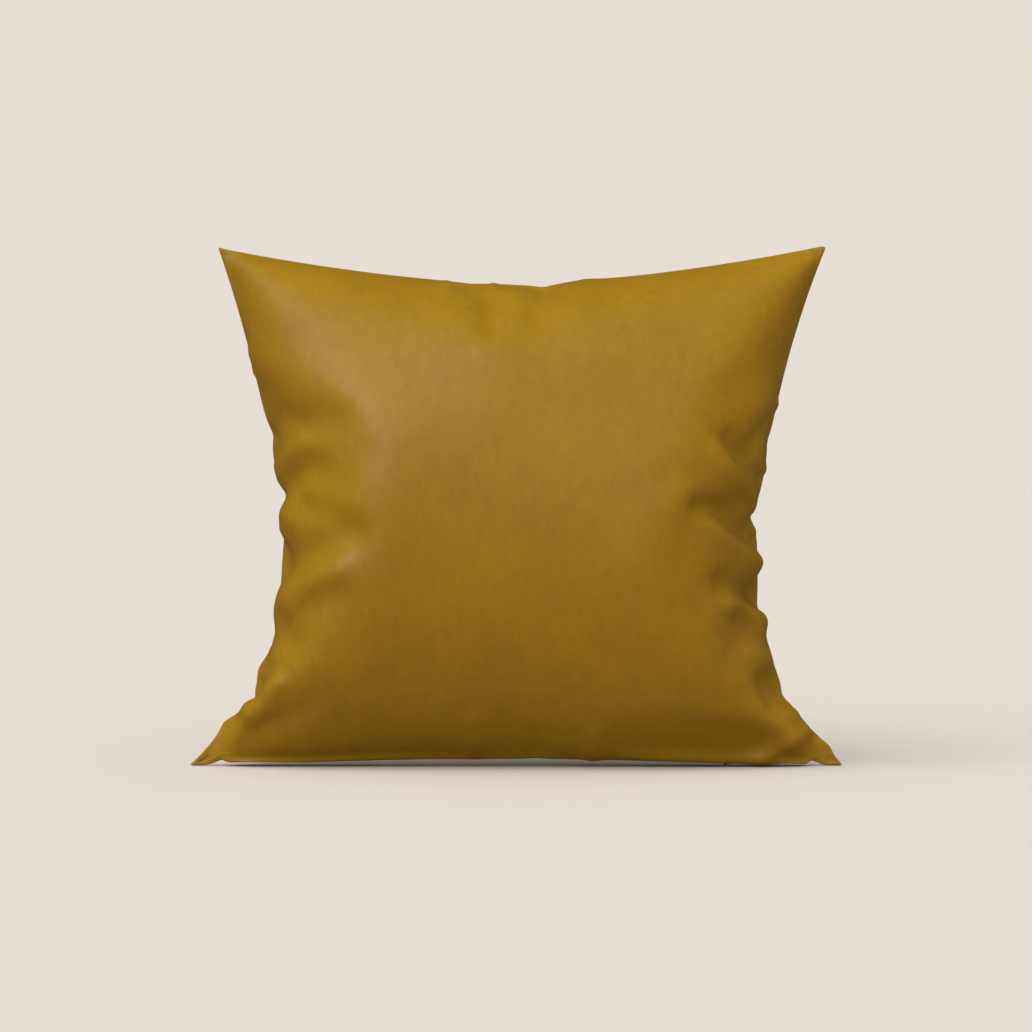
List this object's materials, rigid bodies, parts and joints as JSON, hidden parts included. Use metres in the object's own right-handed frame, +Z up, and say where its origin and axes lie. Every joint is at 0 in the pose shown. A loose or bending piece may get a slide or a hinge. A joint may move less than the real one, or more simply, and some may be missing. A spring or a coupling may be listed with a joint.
{
  "type": "throw pillow",
  "caption": "Square knife-edge throw pillow in mustard velvet, standing on its bottom edge, with a zipped cover over a fibre-filled insert.",
  "frame": {"origin": "on the floor below the middle of the pillow, centre of the bounding box's bottom face", "axes": "+Z up, X along the bottom edge from corner to corner, the front face towards -Y"},
  "size_m": [0.43, 0.168, 0.341],
  "materials": {
    "velvet": "matte",
    "cover_thread": "matte",
    "zip_tape": "matte",
    "zip_coil": "satin",
    "zip_metal": "satin",
    "ticking": "matte",
    "insert_thread": "matte",
    "label": "satin",
    "fibre": "matte"
  },
  "bodies": {
    "pillow": {"cover_front_panel": "velvet", "cover_back_panel": "velvet", "cover_seam_thread_left": "cover_thread", "cover_seam_thread_top": "cover_thread", "cover_seam_thread_right": "cover_thread", "zip_tape_front": "zip_tape", "zip_tape_back": "zip_tape", "zip_coil_front": "zip_coil", "zip_coil_back": "zip_coil", "zip_top_stop_front": "zip_metal", "zip_top_stop_back": "zip_metal", "zip_bottom_stop": "zip_metal", "tape_thread_front": "cover_thread", "tape_thread_back": "cover_thread", "care_label": "label", "insert_front_panel": "ticking", "insert_back_panel": "ticking", "insert_seam_thread_left": "insert_thread", "insert_seam_thread_top": "insert_thread", "insert_seam_thread_right": "insert_thread", "insert_closing_thread": "insert_thread", "insert_label": "label", "insert_fill": "fibre"},
    "slider": {"zip_slider": "zip_metal"},
    "pull": {"zip_pull": "zip_metal"}
  },
  "joints": [
    {"name": "zip_slide", "type": "slide", "parent": "pillow", "child": "slider", "axis": [-1, 0, 0], "range_m": [0, 0.31]},
    {"name": "pull_swing", "type": "hinge", "parent": "slider", "child": "pull", "pos_m": [0.1552, 0, 0.0084], "axis": [0, -1, 0], "range_deg": [-20, 155]}
  ]
}
